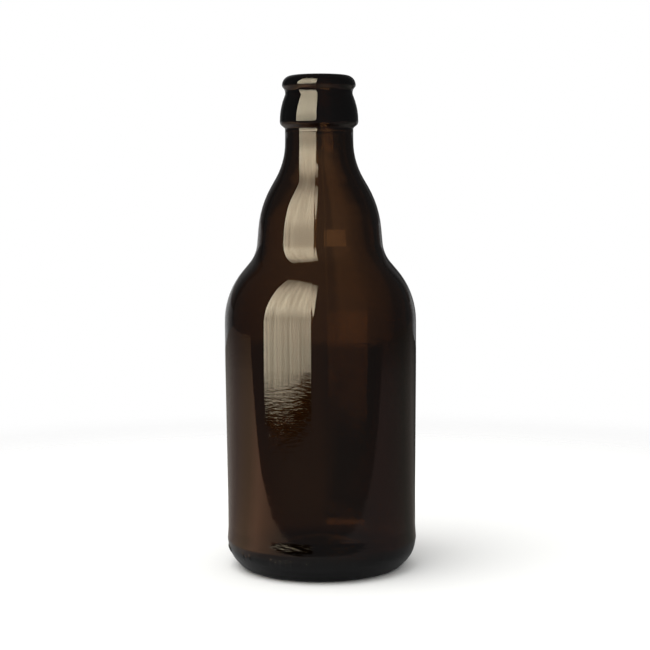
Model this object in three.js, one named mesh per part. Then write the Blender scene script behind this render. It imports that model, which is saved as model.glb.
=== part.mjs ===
// A stubby beer bottle in amber glass, empty and open: one blown piece of glass.
// Millimetres, +Z up. The origin is the centre of the base, on the surface that the bottle stands on.
import * as THREE from "three";

// Driving dimensions of the whole bottle
const HEIGHT = 178.8;
const BODY_DIAMETER = 69.8; // upper contact band, just under the shoulder
const HEEL_DIAMETER = 69.5; // lower contact band, just above the heel
const PANEL_DIAMETER = 68.9; // shallow waist between the bands, where a label would sit
const NECK_DIAMETER = 24.7;
const BULB_RADIUS = 21.6; // swelling of the neck, where its sides would meet unrounded
const WAIST_RADIUS = 23.2; // crease between bulb and shoulder, unrounded

// Crown finish: the mouth that a 26 mm crown cap is crimped on, with depths below the lip
const BORE_DIAMETER = 16;
const BEAD_DIAMETER = 26.6;
const BEAD_DEPTH = 3.9;
const UNDERCUT_DIAMETER = 23.5;
const UNDERCUT_DEPTH = 5.7;
const RING_DIAMETER = 28.4;
const RING_TOP_DEPTH = 11.7;
const RING_BOTTOM_DEPTH = 17.4;
const NECK_TOP_DEPTH = 18.9;

// Heights of the outline's turning points above the base
const NECK_FOOT = 148.1;
const BULB_HEIGHT = 132;
const WAIST_HEIGHT = 114.4;
const SHOULDER_HEIGHT = 100.5;
const PANEL_TOP = 75.2;
const PANEL_FOOT = 26;
const STEP_TOP = 18.4; // where the wall starts to swell out into the heel's contact band
const HEEL_TOP = 10.9;
const HEEL_HEIGHT = 5.05;
const BORE_FOOT = 168;
const NECK_WIDENING = 161;

// Base: a flat ring that it stands on, round a pushed-up centre
const HEEL_CORNER_RADIUS = 33.85;
const BEARING_OUTER_RADIUS = 29.2;
const BEARING_INNER_RADIUS = 24.8;
const PUSH_UP = 4.6;
const PUSH_UP_RADIUS = 15;

// Glass thickness
const WALL = 3;
const NECK_WALL = 2.6;
const HEEL_WALL = 3.3;
const INSIDE_DROP = 0.7; // how far the turning points inside sit below those outside
const FLOOR_LOW = 6; // top of the glass at the floor's lowest ring
const FLOOR_LOW_RADIUS = 20;
const FLOOR_CROWN = 9; // top of the glass at the centre
const FLOOR_CROWN_RADIUS = 10;

// Radii that round the outline's corners
const ROUNDING = {
  pushUp: 22,
  bearingInner: 2,
  bearingOuter: 4.8,
  heelCorner: 9.9,
  heelTop: 7.6,
  stepTop: 14,
  panelFoot: 60,
  panelTop: 61,
  shoulder: 28.5,
  waist: 12.5,
  bulb: 36.2,
  neckFoot: 26.5,
  neckTop: 0.9,
  ringBottom: 1.9,
  ringTop: 23,
  undercut: 2.7,
  beadFoot: 0.9,
  lipOuter: 3.45,
  lipInner: 1.5,
  boreFoot: 30,
  neckWidening: 24,
  floorEdge: 6,
  floorLow: 9,
  floorCrown: 12,
};

// Smoothness of the facets
const FACETS_ROUND = 56;
const CHORD_ERROR = 0.12;

const GLASS_COLOUR = 0x3d2413;

// One corner of the outline: its radius from the axis, its height, and the radius that rounds it
function corner(radius, height, rounding = 0) {
  return { point: new THREE.Vector2(radius, height), rounding };
}

// The arc that rounds a corner, as points from where it leaves one side to where it joins the next
function arcAt(before, here, after) {
  const toBefore = before.point.clone().sub(here.point).normalize();
  const toAfter = after.point.clone().sub(here.point).normalize();
  const halfAngle = Math.acos(THREE.MathUtils.clamp(toBefore.dot(toAfter), -1, 1)) / 2;
  const centre = toBefore.clone().add(toAfter).normalize();
  centre.multiplyScalar(here.rounding / Math.sin(halfAngle)).add(here.point);
  const tangentLength = here.rounding / Math.tan(halfAngle);
  const start = toBefore.multiplyScalar(tangentLength).add(here.point).sub(centre);
  const end = toAfter.multiplyScalar(tangentLength).add(here.point).sub(centre);
  const sweep = Math.atan2(start.cross(end), start.dot(end));
  const widestStep = 2 * Math.acos(1 - CHORD_ERROR / here.rounding);
  const steps = Math.ceil(Math.abs(sweep) / widestStep);
  const arc = [];
  for (let step = 0; step <= steps; step += 1) {
    const turned = start.clone().rotateAround(new THREE.Vector2(), (sweep * step) / steps);
    arc.push(turned.add(centre));
  }
  return arc;
}

function roundedOutline(corners) {
  return corners.flatMap((here, index) =>
    here.rounding > 0 ? arcAt(corners[index - 1], here, corners[index + 1]) : [here.point],
  );
}

// Underside, from the centre of the push-up out to the heel
function baseCorners() {
  return [
    corner(0, PUSH_UP),
    corner(PUSH_UP_RADIUS, PUSH_UP, ROUNDING.pushUp),
    corner(BEARING_INNER_RADIUS, 0, ROUNDING.bearingInner),
    corner(BEARING_OUTER_RADIUS, 0, ROUNDING.bearingOuter),
    corner(HEEL_CORNER_RADIUS, HEEL_HEIGHT, ROUNDING.heelCorner),
  ];
}

// Outside of the body and neck, upwards
function bodyCorners() {
  return [
    corner(HEEL_DIAMETER / 2, HEEL_TOP, ROUNDING.heelTop),
    corner(PANEL_DIAMETER / 2, STEP_TOP, ROUNDING.stepTop),
    corner(PANEL_DIAMETER / 2, PANEL_FOOT, ROUNDING.panelFoot),
    corner(BODY_DIAMETER / 2, PANEL_TOP, ROUNDING.panelTop),
    corner(BODY_DIAMETER / 2, SHOULDER_HEIGHT, ROUNDING.shoulder),
    corner(WAIST_RADIUS, WAIST_HEIGHT, ROUNDING.waist),
    corner(BULB_RADIUS, BULB_HEIGHT, ROUNDING.bulb),
    corner(NECK_DIAMETER / 2, NECK_FOOT, ROUNDING.neckFoot),
  ];
}

// Outside of the crown finish, upwards, over the lip and into the bore
function finishCorners() {
  return [
    corner(NECK_DIAMETER / 2, HEIGHT - NECK_TOP_DEPTH, ROUNDING.neckTop),
    corner(RING_DIAMETER / 2, HEIGHT - RING_BOTTOM_DEPTH, ROUNDING.ringBottom),
    corner(RING_DIAMETER / 2, HEIGHT - RING_TOP_DEPTH, ROUNDING.ringTop),
    corner(UNDERCUT_DIAMETER / 2, HEIGHT - UNDERCUT_DEPTH, ROUNDING.undercut),
    corner(BEAD_DIAMETER / 2, HEIGHT - BEAD_DEPTH, ROUNDING.beadFoot),
    corner(BEAD_DIAMETER / 2, HEIGHT, ROUNDING.lipOuter),
    corner(BORE_DIAMETER / 2, HEIGHT, ROUNDING.lipInner),
  ];
}

// Inside, from the bore down to the centre of the floor. Its roundings keep the wall even.
function insideCorners() {
  const neckRadius = NECK_DIAMETER / 2 - NECK_WALL;
  return [
    corner(BORE_DIAMETER / 2, BORE_FOOT, ROUNDING.boreFoot),
    corner(neckRadius, NECK_WIDENING, ROUNDING.neckWidening),
    corner(neckRadius, NECK_FOOT - INSIDE_DROP, ROUNDING.neckFoot + NECK_WALL),
    corner(BULB_RADIUS - NECK_WALL, BULB_HEIGHT - INSIDE_DROP, ROUNDING.bulb - NECK_WALL),
    corner(WAIST_RADIUS - NECK_WALL, WAIST_HEIGHT - INSIDE_DROP, ROUNDING.waist + NECK_WALL),
    corner(BODY_DIAMETER / 2 - WALL, SHOULDER_HEIGHT - INSIDE_DROP, ROUNDING.shoulder - WALL),
    corner(HEEL_DIAMETER / 2 - HEEL_WALL, FLOOR_LOW, ROUNDING.floorEdge),
    corner(FLOOR_LOW_RADIUS, FLOOR_LOW, ROUNDING.floorLow),
    corner(FLOOR_CROWN_RADIUS, FLOOR_CROWN, ROUNDING.floorCrown),
    corner(0, FLOOR_CROWN),
  ];
}

function makeGlass() {
  return new THREE.MeshStandardMaterial({ color: GLASS_COLOUR, roughness: 0.08, metalness: 0 });
}

function makeBottle() {
  const outline = roundedOutline([
    ...baseCorners(),
    ...bodyCorners(),
    ...finishCorners(),
    ...insideCorners(),
  ]);
  const glassShape = new THREE.LatheGeometry(outline, FACETS_ROUND);
  const bottle = new THREE.Mesh(glassShape, makeGlass());
  bottle.name = "bottle";
  bottle.rotation.x = Math.PI / 2; // the lathe turns about +Y
  return bottle;
}

const object = new THREE.Group();
object.add(makeBottle());

export default object;
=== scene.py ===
# A stubby beer bottle in amber glass, on a plain pale stage.
# Everything is in metres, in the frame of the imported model: +Z up, the base's centre at the origin.
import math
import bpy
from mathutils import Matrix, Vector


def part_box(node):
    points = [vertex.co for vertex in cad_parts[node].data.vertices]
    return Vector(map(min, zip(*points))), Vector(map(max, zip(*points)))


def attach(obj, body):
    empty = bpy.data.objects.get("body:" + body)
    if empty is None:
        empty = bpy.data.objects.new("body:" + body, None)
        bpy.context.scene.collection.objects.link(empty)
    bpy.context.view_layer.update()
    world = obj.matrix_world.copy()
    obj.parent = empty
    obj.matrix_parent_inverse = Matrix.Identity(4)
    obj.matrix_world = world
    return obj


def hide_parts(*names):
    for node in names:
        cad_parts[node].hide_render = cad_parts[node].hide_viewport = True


bl_info = {
    "name": "Stubby Amber Bottle",
    "version": (1, 0, 0),
    "blender": (4, 5, 0),
    "location": "View3D > Sidebar > Bottle",
    "description": "Models a stubby amber beer bottle and the stage that it is shown on",
    "category": "Add Mesh",
}

import bmesh
import bpy
from mathutils import Matrix, Vector, noise

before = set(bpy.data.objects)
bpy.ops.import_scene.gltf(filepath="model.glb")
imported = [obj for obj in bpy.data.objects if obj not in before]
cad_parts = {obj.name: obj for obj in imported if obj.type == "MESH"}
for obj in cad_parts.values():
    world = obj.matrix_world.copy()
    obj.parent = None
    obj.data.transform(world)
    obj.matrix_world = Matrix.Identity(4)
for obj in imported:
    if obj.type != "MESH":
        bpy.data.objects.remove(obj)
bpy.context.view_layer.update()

MM = 0.001
NODE = "bottle"
BODY = "root"
BASE_CORNER, TOP_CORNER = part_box(NODE)
BOTTLE_HEIGHT = TOP_CORNER.z - BASE_CORNER.z
BOTTLE_DIAMETER = TOP_CORNER.x - BASE_CORNER.x

# Zones of the outline, kept on its vertices so that each surface gets its own relief
BASE, HEEL, WALL_OUTSIDE, FINISH, INSIDE = range(5)

# The outline in millimetres. Where rounding applies, these are the corners that its sides would meet at.
PUSH_UP = 4.6
PUSH_UP_RADIUS = 15
BEARING_INNER_RADIUS = 24.8
BEARING_OUTER_RADIUS = 29.2
HEEL_CORNER_RADIUS = 33.85
HEEL_HEIGHT = 5.05
HEEL_TOP = 10.3
STEP_TOP = 14.9
PANEL_FOOT = 26
PANEL_TOP = 75.2
SHOULDER_HEIGHT = 100.5
WAIST_RADIUS = 23.2
WAIST_HEIGHT = 114.4
BULB_RADIUS = 21.6
BULB_HEIGHT = 132
NECK_FOOT = 148.1
UNDERCUT_RADIUS = 11.75
BORE_FOOT = 168
NECK_WIDENING = 161
FLOOR_LOW = 6
FLOOR_LOW_RADIUS = 20
FLOOR_CROWN = 9
FLOOR_CROWN_RADIUS = 10

# Depths below the lip, and the fine ridge that the parting of the mould leaves on the neck
PARTING_DEPTH = 20.4
PARTING_HALF = 0.2
PARTING_RIDGE = 0.05
NECK_TOP_DEPTH = 18.9
RING_BOTTOM_DEPTH = 17.4
RING_TOP_DEPTH = 11.7
UNDERCUT_DEPTH = 5.7
BEAD_DEPTH = 3.9

# How far the turning points inside sit below those outside
INSIDE_DROP = 0.7

# Radii that round the outline's corners
ROUNDING = {
    "push_up": 22,
    "bearing_inner": 2,
    "bearing_outer": 4.8,
    "heel_corner": 9.9,
    "heel_top": 3,
    "step_top": 12,
    "panel_foot": 60,
    "panel_top": 61,
    "shoulder": 28.5,
    "waist": 12.5,
    "bulb": 36.2,
    "neck_foot": 26.5,
    "parting": 0.12,
    "neck_top": 0.9,
    "ring_bottom": 1.9,
    "ring_top": 23,
    "undercut": 2.7,
    "bead_foot": 0.9,
    "lip_outer": 3.45,
    "lip_inner": 1.5,
    "bore_foot": 30,
    "neck_widening": 24,
    "floor_edge": 5,
    "floor_low": 9,
    "floor_crown": 12,
}

# Fineness of the mesh, and the width and foot of the mould seams
ARC_TURN = math.radians(4.5)
INSIDE_ARC_TURN = math.radians(7)
STRAIGHT_STEP = 3.2 * MM
HEEL_STEP = 0.32 * MM
SECTORS = 16
SECTOR_STEPS = 15
SEAM_REACH = math.radians(11.25)
SEAM_CROWDING = 1.9
SEAM_HALF_WIDTH = 0.3 * MM
SEAM_FOOT = 3 * MM
WELD_GAP = 1e-4 * MM
LEVEL_GAP = 1e-3 * MM

# Sizes of the soft unevenness outside and inside, and how much the inside's is drawn out upwards
OUTER_WAVE_SIZE = 14 * MM
INNER_WAVE_SIZE = 16 * MM
INNER_WAVE_STRETCH = 0.5

# The band of the heel that carries raised marks, and how many cuts divide each of its edges round the bottle
MARK_BAND = (5.2 * MM, 9.4 * MM)
MARK_CUTS = 3

# Rows of raised marks round the heel: the angle of each row's middle from the front towards the left, in
# degrees, and how many marks it has. Bars and dots take turns in a row, and a row of one is a dot. The
# flatness sets how broad the top of a mark is against its slopes.
MARK_ROWS = ((82, 4), (52, 3), (25, 5), (9, 1), (-12, 5), (-39, 1), (118, 5), (160, 5), (-95, 3), (-140, 5))
MARK_SPACING = math.radians(3.3)
MARK_MIDDLE = 7.3 * MM
BAR_HALF = (0.45 * MM, 1.6 * MM)
DOT_HALF = (0.5 * MM, 0.5 * MM)
MARK_FLATNESS = 1.5

# Texture of the mould's skin: soft dimples 3 mm across, and flat ripples 0.8 mm high, which come in between
# two heights on the body and are faint above them
PEEL_SCALE = 1 / (3.3 * MM)
PEEL_HEIGHT = 0.008 * MM
RIPPLE_SCALE = (1 / (2 * MM), 1 / (2 * MM), 1 / (0.8 * MM))
RIPPLE_HEIGHT = 0.016 * MM
RIPPLE_RANGE = {"From Min": 92 * MM, "From Max": 66 * MM, "To Min": 0.12, "To Max": 1.0}
GLASS_IOR = 1.52


def linear(hex_colour):
    """An sRGB colour, written #RRGGBB, as linear red, green, blue and an alpha of 1."""
    channels = [int(hex_colour[i : i + 2], 16) / 255 for i in (1, 3, 5)]
    curve = [c / 12.92 if c <= 0.04045 else ((c + 0.055) / 1.055) ** 2.4 for c in channels]
    return (*curve, 1.0)


def smooth_bump(distance):
    """1 at distance 0, falling smoothly to 0 at distance 1 and beyond."""
    return (1 - distance * distance) ** 2 if distance < 1 else 0.0


def length_property(name, description, default):
    return bpy.props.FloatProperty(
        name=name, description=description, default=default, min=0, unit="LENGTH", precision=5
    )


class BottleSizes(bpy.types.PropertyGroup):
    """Sizes of the bottle that a maker would change."""

    height: length_property("Height", "From the table to the lip", BOTTLE_HEIGHT)
    body: length_property("Body", "Diameter under the shoulder", BOTTLE_DIAMETER)
    panel: length_property("Panel", "Diameter of the shallow label panel", 68.9 * MM)
    heel: length_property("Heel", "Diameter of the contact band above the heel", 69.5 * MM)
    neck: length_property("Neck", "Outer diameter of the neck", 24.7 * MM)
    bead: length_property("Bead", "Diameter of the bead that the cap grips", 26.6 * MM)
    ring: length_property("Ring", "Diameter of the reinforcing ring", 28.4 * MM)
    bore: length_property("Bore", "Inner diameter at the lip", 16 * MM)
    wall: length_property("Wall", "Glass thickness of the body", 3 * MM)
    neck_wall: length_property("Neck wall", "Glass thickness of neck and bulb", 2.6 * MM)
    heel_wall: length_property("Heel wall", "Glass thickness above the heel", 3.3 * MM)


class GlassRelief(bpy.types.PropertyGroup):
    """Marks that the mould and the blowing leave on the glass."""

    seam_angle: bpy.props.FloatProperty(
        name="Seam angle",
        description="Where the front seam stands, from the front towards the left",
        default=math.radians(5.5),
        subtype="ANGLE",
    )
    seam_height: length_property("Seam height", "How far the mould seams stand proud", 0.02 * MM)
    mark_height: length_property("Mark height", "How far the heel marks stand proud", 0.3 * MM)
    outer_wave: length_property("Outer wave", "Unevenness of the outer surface", 0.012 * MM)
    inner_wave: length_property("Inner wave", "Unevenness of the blown inner surface", 0.12 * MM)


class GlassLook(bpy.types.PropertyGroup):
    """Colour and finish of the glass."""

    tint: bpy.props.FloatVectorProperty(
        name="Tint",
        description="Colour that the glass lets through",
        default=linear("#B5902E"),
        subtype="COLOR",
        size=4,
        min=0,
        max=1,
    )
    density: bpy.props.FloatProperty(
        name="Density", description="Strength of the tint, for each metre of glass", default=900
    )
    roughness: bpy.props.FloatProperty(
        name="Roughness", description="Micro-roughness of the surface", default=0.004, min=0, max=1
    )


class StageLook(bpy.types.PropertyGroup):
    """Colours of the stage."""

    floor: bpy.props.FloatVectorProperty(
        name="Floor",
        description="Colour of the floor",
        default=linear("#ECECEA"),
        subtype="COLOR",
        size=4,
        min=0,
        max=1,
    )
    window: bpy.props.FloatVectorProperty(
        name="Window light",
        description="Colour of the large soft light",
        default=linear("#FFF0D0"),
        subtype="COLOR",
        size=4,
        min=0,
        max=1,
    )


def corner(radius, height, rounding=0.0):
    """A corner of the outline in millimetres: its radius, its height, and the radius that rounds it."""
    return radius * MM, height * MM, rounding * MM


def base_corners():
    return [
        corner(0, PUSH_UP),
        corner(PUSH_UP_RADIUS, PUSH_UP, ROUNDING["push_up"]),
        corner(BEARING_INNER_RADIUS, 0, ROUNDING["bearing_inner"]),
        corner(BEARING_OUTER_RADIUS, 0, ROUNDING["bearing_outer"]),
    ]


def heel_corners(mm):
    return [
        corner(HEEL_CORNER_RADIUS, HEEL_HEIGHT, ROUNDING["heel_corner"]),
        corner(mm["heel"] / 2, HEEL_TOP, ROUNDING["heel_top"]),
    ]


def wall_corners(mm):
    return [
        corner(mm["panel"] / 2, STEP_TOP, ROUNDING["step_top"]),
        corner(mm["panel"] / 2, PANEL_FOOT, ROUNDING["panel_foot"]),
        corner(mm["body"] / 2, PANEL_TOP, ROUNDING["panel_top"]),
        corner(mm["body"] / 2, SHOULDER_HEIGHT, ROUNDING["shoulder"]),
        corner(WAIST_RADIUS, WAIST_HEIGHT, ROUNDING["waist"]),
        corner(BULB_RADIUS, BULB_HEIGHT, ROUNDING["bulb"]),
        corner(mm["neck"] / 2, NECK_FOOT, ROUNDING["neck_foot"]),
        corner(mm["neck"] / 2, mm["height"] - PARTING_DEPTH - PARTING_HALF),
    ]


def finish_corners(mm):
    height = mm["height"]
    return [
        corner(mm["neck"] / 2 + PARTING_RIDGE, height - PARTING_DEPTH, ROUNDING["parting"]),
        corner(mm["neck"] / 2, height - PARTING_DEPTH + PARTING_HALF),
        corner(mm["neck"] / 2, height - NECK_TOP_DEPTH, ROUNDING["neck_top"]),
        corner(mm["ring"] / 2, height - RING_BOTTOM_DEPTH, ROUNDING["ring_bottom"]),
        corner(mm["ring"] / 2, height - RING_TOP_DEPTH, ROUNDING["ring_top"]),
        corner(UNDERCUT_RADIUS, height - UNDERCUT_DEPTH, ROUNDING["undercut"]),
        corner(mm["bead"] / 2, height - BEAD_DEPTH, ROUNDING["bead_foot"]),
        corner(mm["bead"] / 2, height, ROUNDING["lip_outer"]),
    ]


def inside_corners(mm):
    """From the lip down to the middle of the floor. The roundings keep the wall even."""
    wall, neck_wall = mm["wall"], mm["neck_wall"]
    neck = mm["neck"] / 2 - neck_wall
    bulb = BULB_RADIUS - neck_wall
    waist = WAIST_RADIUS - neck_wall
    body = mm["body"] / 2 - wall
    heel = mm["heel"] / 2 - mm["heel_wall"]
    return [
        corner(mm["bore"] / 2, mm["height"], ROUNDING["lip_inner"]),
        corner(mm["bore"] / 2, BORE_FOOT, ROUNDING["bore_foot"]),
        corner(neck, NECK_WIDENING, ROUNDING["neck_widening"]),
        corner(neck, NECK_FOOT - INSIDE_DROP, ROUNDING["neck_foot"] + neck_wall),
        corner(bulb, BULB_HEIGHT - INSIDE_DROP, ROUNDING["bulb"] - neck_wall),
        corner(waist, WAIST_HEIGHT - INSIDE_DROP, ROUNDING["waist"] + neck_wall),
        corner(body, SHOULDER_HEIGHT - INSIDE_DROP, ROUNDING["shoulder"] - wall),
        corner(heel, FLOOR_LOW, ROUNDING["floor_edge"]),
        corner(FLOOR_LOW_RADIUS, FLOOR_LOW, ROUNDING["floor_low"]),
        corner(FLOOR_CROWN_RADIUS, FLOOR_CROWN, ROUNDING["floor_crown"]),
        corner(0, FLOOR_CROWN),
    ]


def outline_corners(sizes):
    """The glass in section, from the middle of the base round over the lip to the middle of the floor."""
    mm = {name: getattr(sizes, name) / MM for name in BottleSizes.__annotations__}
    return [
        (BASE, base_corners()),
        (HEEL, heel_corners(mm)),
        (WALL_OUTSIDE, wall_corners(mm)),
        (FINISH, finish_corners(mm)),
        (INSIDE, inside_corners(mm)),
    ]


def extrude_along(mesh, tip, end, step):
    """Extrudes a straight run of edges from tip to end, and returns the vertex at its end."""
    run = end - tip.co
    steps = max(1, math.ceil(run.length / step))
    for _ in range(steps):
        tip = bmesh.ops.extrude_vert_indiv(mesh, verts=[tip])["verts"][0]
        bmesh.ops.translate(mesh, verts=[tip], vec=run / steps)
    return tip


def arc_of(before, here, after):
    """Where the arc that rounds a corner starts, the arc's centre, and how far it turns."""
    point = Vector((here[0], here[1]))
    back = (Vector((before[0], before[1])) - point).normalized()
    ahead = (Vector((after[0], after[1])) - point).normalized()
    half = back.angle(ahead) / 2
    start = point + back * (here[2] / math.tan(half))
    centre = point + (back + ahead).normalized() * (here[2] / math.sin(half))
    left_turn = back.x * ahead.y - back.y * ahead.x < 0
    sweep = (math.pi - 2 * half) * (1 if left_turn else -1)
    return start, centre, sweep


def trace_outline(mesh, zones):
    """Draws the rounded outline as a chain of edges: straight runs are extruded, and corners are spun."""
    zone_layer = mesh.verts.layers.int.new("zone")
    corners = [(zone, place) for zone, places in zones for place in places]
    first = corners[0][1]
    tip = mesh.verts.new((first[0], 0, first[1]))
    tip[zone_layer] = corners[0][0]
    for index in range(1, len(corners)):
        zone, here = corners[index]
        step = HEEL_STEP if zone == HEEL else STRAIGHT_STEP
        arc_turn = INSIDE_ARC_TURN if zone == INSIDE else ARC_TURN
        tip[zone_layer] = zone
        if here[2] == 0:
            tip = extrude_along(mesh, tip, Vector((here[0], 0, here[1])), step)
            continue
        start, centre, sweep = arc_of(corners[index - 1][1], here, corners[index + 1][1])
        tip = extrude_along(mesh, tip, Vector((start.x, 0, start.y)), step)
        arc_step = min(arc_turn, HEEL_STEP / here[2]) if zone == HEEL else arc_turn
        turned = bmesh.ops.spin(
            mesh,
            geom=[tip],
            cent=(centre.x, 0, centre.y),
            axis=(0, -1, 0),
            angle=sweep,
            steps=max(2, math.ceil(abs(sweep) / arc_step)),
            use_duplicate=False,
        )
        tip = next(part for part in turned["geom_last"] if isinstance(part, bmesh.types.BMVert))
    return zone_layer


def turn_outline(mesh):
    """Spins the outline through one sector, and doubles that round the axis until it closes."""
    turned = 2 * math.pi / SECTORS
    bmesh.ops.spin(
        mesh,
        geom=mesh.verts[:] + mesh.edges[:],
        cent=(0, 0, 0),
        axis=(0, 0, 1),
        angle=turned,
        steps=SECTOR_STEPS,
        use_duplicate=False,
    )
    while turned < 1.5 * math.pi:
        copied = bmesh.ops.duplicate(mesh, geom=mesh.verts[:] + mesh.edges[:] + mesh.faces[:])
        moved = [part for part in copied["geom"] if isinstance(part, bmesh.types.BMVert)]
        bmesh.ops.rotate(mesh, verts=moved, matrix=Matrix.Rotation(turned, 3, "Z"))
        turned *= 2
    bmesh.ops.remove_doubles(mesh, verts=mesh.verts[:], dist=WELD_GAP)
    bmesh.ops.dissolve_degenerate(mesh, edges=mesh.edges[:], dist=WELD_GAP)
    bmesh.ops.recalc_face_normals(mesh, faces=mesh.faces[:])


def refine_mark_band(mesh, zone_layer):
    """Splits the heel's mesh finer round the bottle where it carries marks, and keeps the new edges round."""
    low, high = MARK_BAND
    edges = [
        edge
        for edge in mesh.edges
        if all(vert[zone_layer] == HEEL and low < vert.co.z < high for vert in edge.verts)
        and abs(edge.verts[0].co.z - edge.verts[1].co.z) < LEVEL_GAP
    ]
    split = bmesh.ops.subdivide_edges(mesh, edges=edges, cuts=MARK_CUTS, use_grid_fill=True)
    column = 2 * math.pi / (SECTORS * SECTOR_STEPS)
    for part in split["geom_inner"]:
        if isinstance(part, bmesh.types.BMVert):
            part[zone_layer] = HEEL
            off_middle = math.atan2(part.co.y, part.co.x) % column - column / 2
            swell = math.cos(off_middle) / math.cos(column / 2)
            part.co.x *= swell
            part.co.y *= swell


def crowd_to_seams(mesh, seam_angle):
    """Draws the columns of vertices together at the two seams, so that a narrow ridge has enough of them."""
    for vert in mesh.verts:
        radius = math.hypot(vert.co.x, vert.co.y)
        if radius < WELD_GAP:
            continue
        angle = angle_from_front(vert.co)
        from_seam = angle_from_seam(angle, seam_angle)
        share = abs(from_seam) / SEAM_REACH
        if share >= 1:
            continue
        wanted = math.copysign(SEAM_REACH * share**SEAM_CROWDING, from_seam)
        new_angle = angle + wanted - from_seam
        vert.co.x = -radius * math.sin(new_angle)
        vert.co.y = -radius * math.cos(new_angle)


def angle_from_front(place):
    """The angle round the bottle from the front, positive towards the left of someone facing it."""
    return math.atan2(-place.x, -place.y)


def wrap(angle):
    return (angle + math.pi) % (2 * math.pi) - math.pi


def angle_from_seam(angle, seam_angle):
    """The angle from the nearer of the two seams, which stand half a turn apart."""
    return (angle - seam_angle + math.pi / 2) % math.pi - math.pi / 2


def heel_marks():
    """Angle, half width and half height of each raised mark: bars and dots by turns."""
    marks = []
    for middle, count in MARK_ROWS:
        for index in range(count):
            angle = math.radians(middle) + (index - (count - 1) / 2) * MARK_SPACING
            marks.append((angle, *(DOT_HALF if index % 2 == 1 or count == 1 else BAR_HALF)))
    return marks


def mark_share(place, marks):
    """How much of a heel mark stands at a place, from 0 to 1."""
    angle = angle_from_front(place)
    radius = math.hypot(place.x, place.y)
    best = 0.0
    for mark_angle, half_width, half_height in marks:
        across = abs(wrap(angle - mark_angle)) * radius / half_width
        up = abs(place.z - MARK_MIDDLE) / half_height
        best = max(best, smooth_bump(max(across, up) ** MARK_FLATNESS))
    return best


def shape_relief(mesh, zone_layer, relief):
    """Raises the seams and the heel marks, and gives the surfaces the unevenness of blown glass."""
    moves = []
    marks = heel_marks()
    for vert in mesh.verts:
        zone = vert[zone_layer]
        place = vert.co
        height = 0.0
        if zone in (HEEL, WALL_OUTSIDE, FINISH):
            height += relief.outer_wave * noise.noise(place / OUTER_WAVE_SIZE)
            from_seam = angle_from_seam(angle_from_front(place), relief.seam_angle)
            from_seam = abs(from_seam) * math.hypot(place.x, place.y)
            if zone != FINISH and place.z > SEAM_FOOT:
                height += relief.seam_height * smooth_bump(from_seam / SEAM_HALF_WIDTH)
        if zone == HEEL and MARK_BAND[0] < place.z < MARK_BAND[1]:
            height += relief.mark_height * mark_share(place, marks)
        if zone == INSIDE:
            stretched = Vector((place.x, place.y, place.z * INNER_WAVE_STRETCH))
            height += relief.inner_wave * noise.noise(stretched / INNER_WAVE_SIZE)
        moves.append((vert, vert.normal * height))
    for vert, move in moves:
        vert.co += move


def make_glass_mesh(sizes, relief):
    mesh = bmesh.new()
    zone_layer = trace_outline(mesh, outline_corners(sizes))
    turn_outline(mesh)
    refine_mark_band(mesh, zone_layer)
    crowd_to_seams(mesh, relief.seam_angle)
    mesh.normal_update()
    shape_relief(mesh, zone_layer, relief)
    for face in mesh.faces:
        face.smooth = True
    return mesh


def finish_object(name, mesh):
    """Turns a bmesh into an object at the origin."""
    data = bpy.data.meshes.new(name)
    mesh.to_mesh(data)
    mesh.free()
    made = bpy.data.objects.new(name, data)
    bpy.context.scene.collection.objects.link(made)
    return made


def add_node(tree, kind, settings=None, links=None):
    """Adds a node. settings holds its properties and its sockets' values, and links its sockets' sources.
    A socket is given by its name or its number."""
    node = tree.nodes.new(kind)
    for key, value in (settings or {}).items():
        if isinstance(key, int) or key in node.inputs:
            node.inputs[key].default_value = value
        else:
            setattr(node, key, value)
    for socket, source in (links or {}).items():
        tree.links.new(source, node.inputs[socket])
    return node


def amber_glass(look):
    """Amber soda-lime glass, blown in an iron mould.
    Its surface is clear and glossy with a faint mould texture, and the body of the glass is a deep brown."""
    material = bpy.data.materials.new("amber_soda_lime_glass")
    material.use_nodes = True
    tree = material.node_tree
    tree.nodes.clear()
    place = add_node(tree, "ShaderNodeTexCoord").outputs["Object"]
    peel = add_node(tree, "ShaderNodeTexNoise", {"Scale": PEEL_SCALE, "Detail": 1.0}, {"Vector": place})
    stretch = add_node(tree, "ShaderNodeMapping", {"Scale": RIPPLE_SCALE}, {"Vector": place})
    ripple = add_node(
        tree,
        "ShaderNodeTexNoise",
        {"Scale": 1.0, "Detail": 1.5},
        {"Vector": stretch.outputs["Vector"]},
    )
    height = add_node(tree, "ShaderNodeSeparateXYZ", links={"Vector": place}).outputs["Z"]
    lower = add_node(tree, "ShaderNodeMapRange", RIPPLE_RANGE, {"Value": height})
    soft_bump = add_node(
        tree,
        "ShaderNodeBump",
        {"Strength": 1.0, "Distance": PEEL_HEIGHT},
        {"Height": peel.outputs["Fac"]},
    )
    bump = add_node(
        tree,
        "ShaderNodeBump",
        {"Distance": RIPPLE_HEIGHT},
        {
            "Strength": lower.outputs["Result"],
            "Height": ripple.outputs["Fac"],
            "Normal": soft_bump.outputs["Normal"],
        },
    )
    surface = add_node(
        tree,
        "ShaderNodeBsdfPrincipled",
        {
            "Base Color": (1, 1, 1, 1),
            "Roughness": look.roughness,
            "IOR": GLASS_IOR,
            "Transmission Weight": 1.0,
        },
        {"Normal": bump.outputs["Normal"]},
    )
    depth = add_node(
        tree, "ShaderNodeVolumeAbsorption", {"Color": look.tint, "Density": look.density}
    )
    add_node(
        tree,
        "ShaderNodeOutputMaterial",
        links={"Surface": surface.outputs["BSDF"], "Volume": depth.outputs["Volume"]},
    )
    return material


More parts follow.
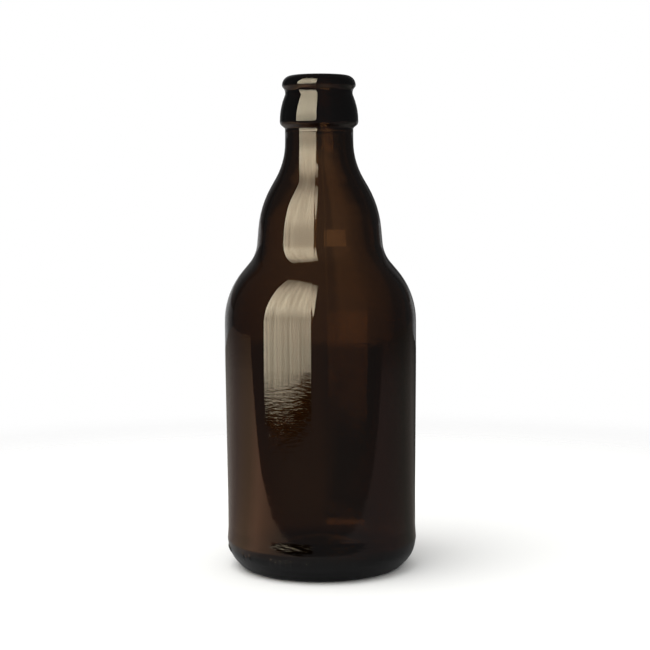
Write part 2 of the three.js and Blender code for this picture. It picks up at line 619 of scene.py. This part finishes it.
def keep_for(thing, rays):
    """Lets only the named kinds of ray see a stage object."""
    for kind in ("camera", "diffuse", "glossy", "transmission", "volume_scatter", "shadow"):
        setattr(thing, "visible_" + kind, kind in rays)


# Camera: a long lens close to the bottle, a little above it, with the bottle leaning slightly in the frame
IMAGE_SIZE = 650
SENSOR = 36 * MM
FOCAL_PIXELS = 1525
CAMERA_DISTANCE = 555.8 * MM
CAMERA_HEIGHT = 135.4 * MM
CAMERA_PITCH = math.radians(4.823)
CAMERA_ROLL = math.radians(-0.377)
AXIS_PIXEL = 320.45

# The overhead softbox: its size, its power, where it hangs, and the direction that its light comes from
SOFTBOX_SIZE = 0.9
SOFTBOX_POWER = 6.0
SOFTBOX_PLACE = (-0.35, -0.25, 0.9)
SOFTBOX_FROM = (-0.35, -0.25, 0.85)

# How far the floor reaches and fades out, and how the room's light falls from the camera's side to the back
FLOOR_REACH = 0.6
FLOOR_FADE = {"From Min": 0.12, "From Max": 0.42, "interpolation_type": "SMOOTHERSTEP"}
ROOM_LIGHT = {"From Min": -0.8, "From Max": 0.6, "To Min": 0.13, "To Max": 0.06}

# The large soft light, hung at this distance towards the left of the camera. Its outline is given as angles
# from the camera's side towards the left, in degrees, and heights above the table, in metres.
WINDOW_DISTANCE = 1.2
WINDOW_OUTLINE = (
    (70, -0.13),
    (12, -0.13),
    (11, 0.0),
    (9.5, 0.12),
    (8, 0.3),
    (6.5, 0.7),
    (5, 1.2),
    (4, 2.0),
    (70, 2.0),
)

# Its hem rises by this much for each metre towards the right
HEM_RISE = 0.034

# Folds of its cloth: how fine they are across and up, and how much they darken and lighten it
FOLD_SCALE = (13.0, 13.0, 0.9)
FOLD_SHADE = {"From Min": 0.3, "From Max": 0.7, "To Min": 0.68, "To Max": 1.26}

# The light that it gives at heights above the table, as they are straight in front of the bottle's axis
WINDOW_LIGHT = (
    (-0.082, 0.0),
    (-0.070, 1.2),
    (-0.042, 4.9),
    (0.00, 5.8),
    (0.03, 6.3),
    (0.14, 6.2),
    (0.26, 5.5),
    (0.50, 9.5),
    (0.75, 9.3),
    (1.20, 7.2),
    (1.50, 4.6),
    (2.00, 1.6),
)


def make_camera():
    data = bpy.data.cameras.new("camera")
    data.sensor_width = SENSOR / MM
    data.lens = FOCAL_PIXELS / IMAGE_SIZE * data.sensor_width
    camera = bpy.data.objects.new("camera", data)
    yaw = -math.atan((IMAGE_SIZE / 2 - AXIS_PIXEL) / FOCAL_PIXELS)
    turn = (
        Matrix.Rotation(yaw, 4, "Z")
        @ Matrix.Rotation(math.pi / 2 - CAMERA_PITCH, 4, "X")
        @ Matrix.Rotation(CAMERA_ROLL, 4, "Z")
    )
    camera.matrix_world = Matrix.Translation((0, -CAMERA_DISTANCE, CAMERA_HEIGHT)) @ turn
    bpy.context.scene.collection.objects.link(camera)
    bpy.context.scene.camera = camera


def make_card(name, places, material):
    """A flat stage card from its four corners."""
    mesh = bmesh.new()
    bmesh.ops.contextual_create(mesh, geom=[mesh.verts.new(place) for place in places])
    card = finish_object(name, mesh)
    card.data.materials.append(material)
    return card


def glow(name):
    """An even white stage light material, with its emission node for the light to be shaped."""
    material = bpy.data.materials.new(name)
    material.use_nodes = True
    tree = material.node_tree
    tree.nodes.clear()
    light = add_node(tree, "ShaderNodeEmission", {"Color": (1, 1, 1, 1), "Strength": 1.0})
    add_node(tree, "ShaderNodeOutputMaterial", links={"Surface": light.outputs["Emission"]})
    return material, tree, light


def ramp(tree, source, stops):
    """A colour ramp over a value, from pairs of the value and a colour, in rising order."""
    low, high = stops[0][0], stops[-1][0]
    share = add_node(
        tree, "ShaderNodeMapRange", {"From Min": low, "From Max": high}, {"Value": source}
    )
    node = add_node(tree, "ShaderNodeValToRGB", links={"Fac": share.outputs["Result"]})
    elements = node.color_ramp.elements
    while len(elements) < len(stops):
        elements.new(0.5)
    for element, (place, colour) in zip(elements, stops):
        element.position = (place - low) / (high - low)
        element.color = colour
    return node.outputs["Color"]


def light_ramp(tree, source, stops):
    """Like ramp, from pairs of the value and a strength of any size."""
    brightest = max(light for _, light in stops)
    greys = ramp(tree, source, [(place, (light / brightest,) * 3 + (1,)) for place, light in stops])
    return add_node(
        tree, "ShaderNodeMath", {"operation": "MULTIPLY", 1: brightest}, {0: greys}
    ).outputs["Value"]


def window_glow(look):
    """A tall diffuser lit from behind: brightest at its middle, fading to its hem, with hanging folds."""
    material, tree, light = glow("window_diffuser")
    light.inputs["Color"].default_value = look.window
    place = add_node(tree, "ShaderNodeTexCoord").outputs["Object"]
    height = add_node(
        tree, "ShaderNodeVectorMath", {"operation": "DOT_PRODUCT", 1: (-HEM_RISE, 0, 1)}, {0: place}
    ).outputs["Value"]
    even = light_ramp(tree, height, WINDOW_LIGHT)
    hang = add_node(tree, "ShaderNodeMapping", {"Scale": FOLD_SCALE}, {"Vector": place})
    folds = add_node(
        tree, "ShaderNodeTexNoise", {"Scale": 1.0, "Detail": 4.0}, {"Vector": hang.outputs["Vector"]}
    )
    shade = add_node(tree, "ShaderNodeMapRange", FOLD_SHADE, {"Value": folds.outputs["Fac"]})
    strength = add_node(
        tree, "ShaderNodeMath", {"operation": "MULTIPLY"}, {0: even, 1: shade.outputs["Result"]}
    )
    tree.links.new(strength.outputs["Value"], light.inputs["Strength"])
    return material


def window_place(turn, height):
    angle = math.radians(turn)
    return -WINDOW_DISTANCE * math.sin(angle), -WINDOW_DISTANCE * math.cos(angle), height


def make_window(look):
    window = make_card(
        "window", [window_place(turn, height) for turn, height in WINDOW_OUTLINE], window_glow(look)
    )
    keep_for(window, ("glossy", "transmission"))


def floor_paper(look):
    """White paper that fades into the pale background away from the bottle."""
    material = bpy.data.materials.new("floor_paper")
    material.use_nodes = True
    tree = material.node_tree
    tree.nodes.clear()
    place = add_node(tree, "ShaderNodeTexCoord").outputs["Object"]
    away = add_node(tree, "ShaderNodeVectorMath", {"operation": "LENGTH"}, {"Vector": place})
    fade = add_node(tree, "ShaderNodeMapRange", FLOOR_FADE, {"Value": away.outputs["Value"]})
    paper = add_node(tree, "ShaderNodeBsdfDiffuse", {"Color": look.floor})
    clear = add_node(tree, "ShaderNodeBsdfTransparent")
    mix = add_node(
        tree,
        "ShaderNodeMixShader",
        links={0: fade.outputs["Result"], 1: paper.outputs["BSDF"], 2: clear.outputs["BSDF"]},
    )
    add_node(tree, "ShaderNodeOutputMaterial", links={"Surface": mix.outputs["Shader"]})
    return material


def make_floor(look):
    far = FLOOR_REACH
    floor = make_card(
        "floor", [(-far, -far, 0), (far, -far, 0), (far, far, 0), (-far, far, 0)], floor_paper(look)
    )
    keep_for(floor, ("camera", "diffuse", "shadow"))


# The table top as the glass mirrors it, painted as light on a glowing card: how far it reaches to the sides
# and the back, and where its slanting front edge ends at the left and the right. It lies just under the
# floor.
# Its light is given at angles round the bottle, in degrees from straight behind it, growing towards the
# right.
TABLE_REACH = 1.0
TABLE_FRONT = (0.011, -0.203)
TABLE_DEPTH = -0.5 * MM
TABLE_STRENGTH = 1.5
TABLE_LIGHT = (
    (-180, "#787878"),
    (-140, "#A08C7C"),
    (-115, "#D4A98C"),
    (-105, "#EAB898"),
    (-88, "#B2957B"),
    (-63, "#86766E"),
    (-38, "#8B827C"),
    (-9, "#67655F"),
    (0.8, "#64615D"),
    (2, "#3A3937"),
    (25, "#3A3835"),
    (41, "#65605B"),
    (52, "#5C5853"),
    (67, "#565550"),
    (105, "#746562"),
    (180, "#787878"),
)
NEAR_LIGHT = ((-180, "#707070"), (-60, "#7C7C7C"), (0, "#6C6C6C"), (70, "#505050"), (180, "#707070"))

# Distances in metres from the bottle's axis: where the shade under the bottle ends, where the near light
# gives way to the far light, and where the table's light fades to a half
TABLE_SHADE = {
    "From Min": 0.027,
    "From Max": 0.036,
    "To Min": 0.05 * TABLE_STRENGTH,
    "To Max": TABLE_STRENGTH,
}
TABLE_NEAR = {"From Min": 0.045, "From Max": 0.08}
TABLE_FADE = {"From Min": 0.45, "From Max": 1.0, "To Max": 0.5}

# Angles from straight behind the bottle, where the table's light keeps its strength, to where it fades fully
TABLE_BEHIND = {"From Min": math.radians(10), "From Max": math.radians(20)}

# Light of the backdrop behind the bottle, at places from left to right, and how it dims with height
BACKDROP_DISTANCE = 0.8
BACKDROP_TOP = 1.0
BACKDROP_LIGHT = (
    (-1.0, 0.06),
    (-0.62, 0.22),
    (-0.42, 0.42),
    (-0.26, 0.42),
    (-0.02, 0.38),
    (0.026, 0.34),
    (0.028, 0.55),
    (0.06, 0.52),
    (0.09, 0.36),
    (0.15, 0.28),
    (0.18, 0.14),
    (0.25, 0.12),
    (0.42, 0.35),
    (0.54, 0.2),
    (0.66, 0.08),
)
BACKDROP_DIMMING = {"From Min": 0.155, "From Max": 0.19, "To Min": 1.1, "To Max": 0.35}

# A small bright opening just in front of the backdrop: its lower left and upper right corners, across and up
FAR_WINDOW = ((0.010, 0.094), (0.060, 0.112))
FAR_WINDOW_GAP = 10 * MM
FAR_WINDOW_LIGHT = 1.0


def table_glow():
    material, tree, light = glow("painted_table_light")
    place = add_node(tree, "ShaderNodeTexCoord").outputs["Object"]
    parts = add_node(tree, "ShaderNodeSeparateXYZ", links={"Vector": place}).outputs
    angle = add_node(
        tree, "ShaderNodeMath", {"operation": "ARCTAN2"}, {0: parts["X"], 1: parts["Y"]}
    ).outputs["Value"]
    near_stops, far_stops = (
        [(math.radians(turn), linear(colour)) for turn, colour in stops]
        for stops in (NEAR_LIGHT, TABLE_LIGHT)
    )
    away = add_node(
        tree, "ShaderNodeVectorMath", {"operation": "LENGTH"}, {"Vector": place}
    ).outputs["Value"]
    near = add_node(tree, "ShaderNodeMapRange", TABLE_NEAR, {"Value": away})
    colour = add_node(
        tree,
        "ShaderNodeMix",
        {"data_type": "RGBA"},
        {0: near.outputs["Result"], 6: ramp(tree, angle, near_stops), 7: ramp(tree, angle, far_stops)},
    )
    tree.links.new(colour.outputs[2], light.inputs["Color"])
    shade = add_node(tree, "ShaderNodeMapRange", TABLE_SHADE, {"Value": away})
    fade = add_node(tree, "ShaderNodeMapRange", TABLE_FADE, {"Value": away})
    aside = add_node(tree, "ShaderNodeMath", {"operation": "ABSOLUTE"}, {0: angle})
    beside = add_node(
        tree, "ShaderNodeMapRange", TABLE_BEHIND, {"Value": aside.outputs["Value"]}
    )
    lost = add_node(
        tree,
        "ShaderNodeMath",
        {"operation": "MULTIPLY"},
        {0: fade.outputs["Result"], 1: beside.outputs["Result"]},
    )
    kept = add_node(
        tree, "ShaderNodeMath", {"operation": "SUBTRACT", 0: 1.0}, {1: lost.outputs["Value"]}
    )
    strength = add_node(
        tree,
        "ShaderNodeMath",
        {"operation": "MULTIPLY"},
        {0: shade.outputs["Result"], 1: kept.outputs["Value"]},
    )
    tree.links.new(strength.outputs["Value"], light.inputs["Strength"])
    return material


def make_table():
    far, depth = TABLE_REACH, TABLE_DEPTH
    left, right = TABLE_FRONT
    table = make_card(
        "table",
        [(-far, left, depth), (far, right, depth), (far, far, depth), (-far, far, depth)],
        table_glow(),
    )
    keep_for(table, ("glossy", "transmission"))


def make_backdrop():
    """The grey backdrop as painted light on a glowing card, which shows faintly through the glass, with a
    paler strip of painted light right of the middle.
    """
    material, tree, light = glow("backdrop_glow")
    place = add_node(tree, "ShaderNodeTexCoord").outputs["Object"]
    parts = add_node(tree, "ShaderNodeSeparateXYZ", links={"Vector": place}).outputs
    dimming = add_node(tree, "ShaderNodeMapRange", BACKDROP_DIMMING, {"Value": parts["Z"]})
    strength = add_node(
        tree,
        "ShaderNodeMath",
        {"operation": "MULTIPLY"},
        {0: light_ramp(tree, parts["X"], BACKDROP_LIGHT), 1: dimming.outputs["Result"]},
    )
    tree.links.new(strength.outputs["Value"], light.inputs["Strength"])
    left, right = BACKDROP_LIGHT[0][0], BACKDROP_LIGHT[-1][0]
    back, top = BACKDROP_DISTANCE, BACKDROP_TOP
    backdrop = make_card(
        "backdrop",
        [(left, back, 0), (right, back, 0), (right, back, top), (left, back, top)],
        material,
    )
    keep_for(backdrop, ("glossy", "transmission"))


def make_far_window():
    """A small bright opening far behind the bottle, which glows orange through the neck's bulb."""
    material, _, light = glow("far_window")
    light.inputs["Strength"].default_value = FAR_WINDOW_LIGHT
    (left, low), (right, high) = FAR_WINDOW
    back = BACKDROP_DISTANCE - FAR_WINDOW_GAP
    opening = make_card(
        "far_window",
        [(left, back, low), (right, back, low), (right, back, high), (left, back, high)],
        material,
    )
    keep_for(opening, ("glossy", "transmission"))


def make_world():
    """White for the camera and for the floor's light. What the glass mirrors and lets through is dim in
    front of the bottle, and darker behind it."""
    world = bpy.data.worlds.new("studio")
    bpy.context.scene.world = world
    world.use_nodes = True
    tree = world.node_tree
    tree.nodes.clear()
    path = add_node(tree, "ShaderNodeLightPath").outputs
    plain = add_node(
        tree,
        "ShaderNodeMath",
        {"operation": "MAXIMUM"},
        {0: path["Is Camera Ray"], 1: path["Is Diffuse Ray"]},
    )
    direction = add_node(tree, "ShaderNodeTexCoord").outputs["Generated"]
    forward = add_node(tree, "ShaderNodeSeparateXYZ", links={"Vector": direction}).outputs["Y"]
    room = add_node(tree, "ShaderNodeMapRange", ROOM_LIGHT, {"Value": forward})
    dim = add_node(
        tree, "ShaderNodeBackground", {"Color": (1, 1, 1, 1)}, {"Strength": room.outputs["Result"]}
    )
    white = add_node(tree, "ShaderNodeBackground", {"Color": (1, 1, 1, 1), "Strength": 1.0})
    mix = add_node(
        tree,
        "ShaderNodeMixShader",
        links={0: plain.outputs["Value"], 1: dim.outputs["Background"], 2: white.outputs["Background"]},
    )
    add_node(tree, "ShaderNodeOutputWorld", links={"Surface": mix.outputs["Shader"]})


def make_soft_light():
    """An overhead softbox for the floor's soft shadow."""
    data = bpy.data.lights.new("overhead", "AREA")
    data.shape = "DISK"
    data.size = SOFTBOX_SIZE
    data.energy = SOFTBOX_POWER
    light = bpy.data.objects.new("overhead", data)
    turn = Vector(SOFTBOX_FROM).to_track_quat("Z", "Y").to_matrix().to_4x4()
    light.matrix_world = Matrix.Translation(SOFTBOX_PLACE) @ turn
    keep_for(light, ("diffuse", "shadow"))
    bpy.context.scene.collection.objects.link(light)


class BOTTLE_OT_blow_glass(bpy.types.Operator):
    """Model the bottle's glass, with its seams and marks"""

    bl_idname = "bottle.blow_glass"
    bl_label = "Blow the glass"

    def execute(self, context):
        mesh = make_glass_mesh(context.scene.bottle_sizes, context.scene.glass_relief)
        glass = finish_object("bottle_glass", mesh)
        glass.data.materials.append(amber_glass(context.scene.glass_look))
        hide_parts(NODE)
        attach(glass, BODY)
        return {"FINISHED"}


class BOTTLE_OT_set_stage(bpy.types.Operator):
    """Lay the floor, hang the lights and place the camera"""

    bl_idname = "bottle.set_stage"
    bl_label = "Set the stage"

    def execute(self, context):
        context.scene.view_settings.view_transform = "Standard"
        make_world()
        make_floor(context.scene.stage_look)
        make_table()
        make_backdrop()
        make_far_window()
        make_window(context.scene.stage_look)
        make_soft_light()
        make_camera()
        return {"FINISHED"}


class BOTTLE_PT_panel(bpy.types.Panel):
    """Lists the steps that make the bottle"""

    bl_label = "Bottle"
    bl_idname = "BOTTLE_PT_panel"
    bl_space_type = "VIEW_3D"
    bl_region_type = "UI"
    bl_category = "Bottle"

    def draw(self, context):
        for operator in STEPS:
            self.layout.operator(operator.bl_idname)


STEPS = (BOTTLE_OT_blow_glass, BOTTLE_OT_set_stage)
GROUPS = {
    "bottle_sizes": BottleSizes,
    "glass_relief": GlassRelief,
    "glass_look": GlassLook,
    "stage_look": StageLook,
}


def register():
    for group in GROUPS.values():
        bpy.utils.register_class(group)
    for name, group in GROUPS.items():
        setattr(bpy.types.Scene, name, bpy.props.PointerProperty(type=group))
    for step in (*STEPS, BOTTLE_PT_panel):
        bpy.utils.register_class(step)


def unregister():
    for step in (BOTTLE_PT_panel, *reversed(STEPS)):
        bpy.utils.unregister_class(step)
    for name, group in GROUPS.items():
        delattr(bpy.types.Scene, name)
        bpy.utils.unregister_class(group)


def main():
    register()
    bpy.ops.bottle.blow_glass()
    bpy.ops.bottle.set_stage()


if __name__ == "__main__":
    main()
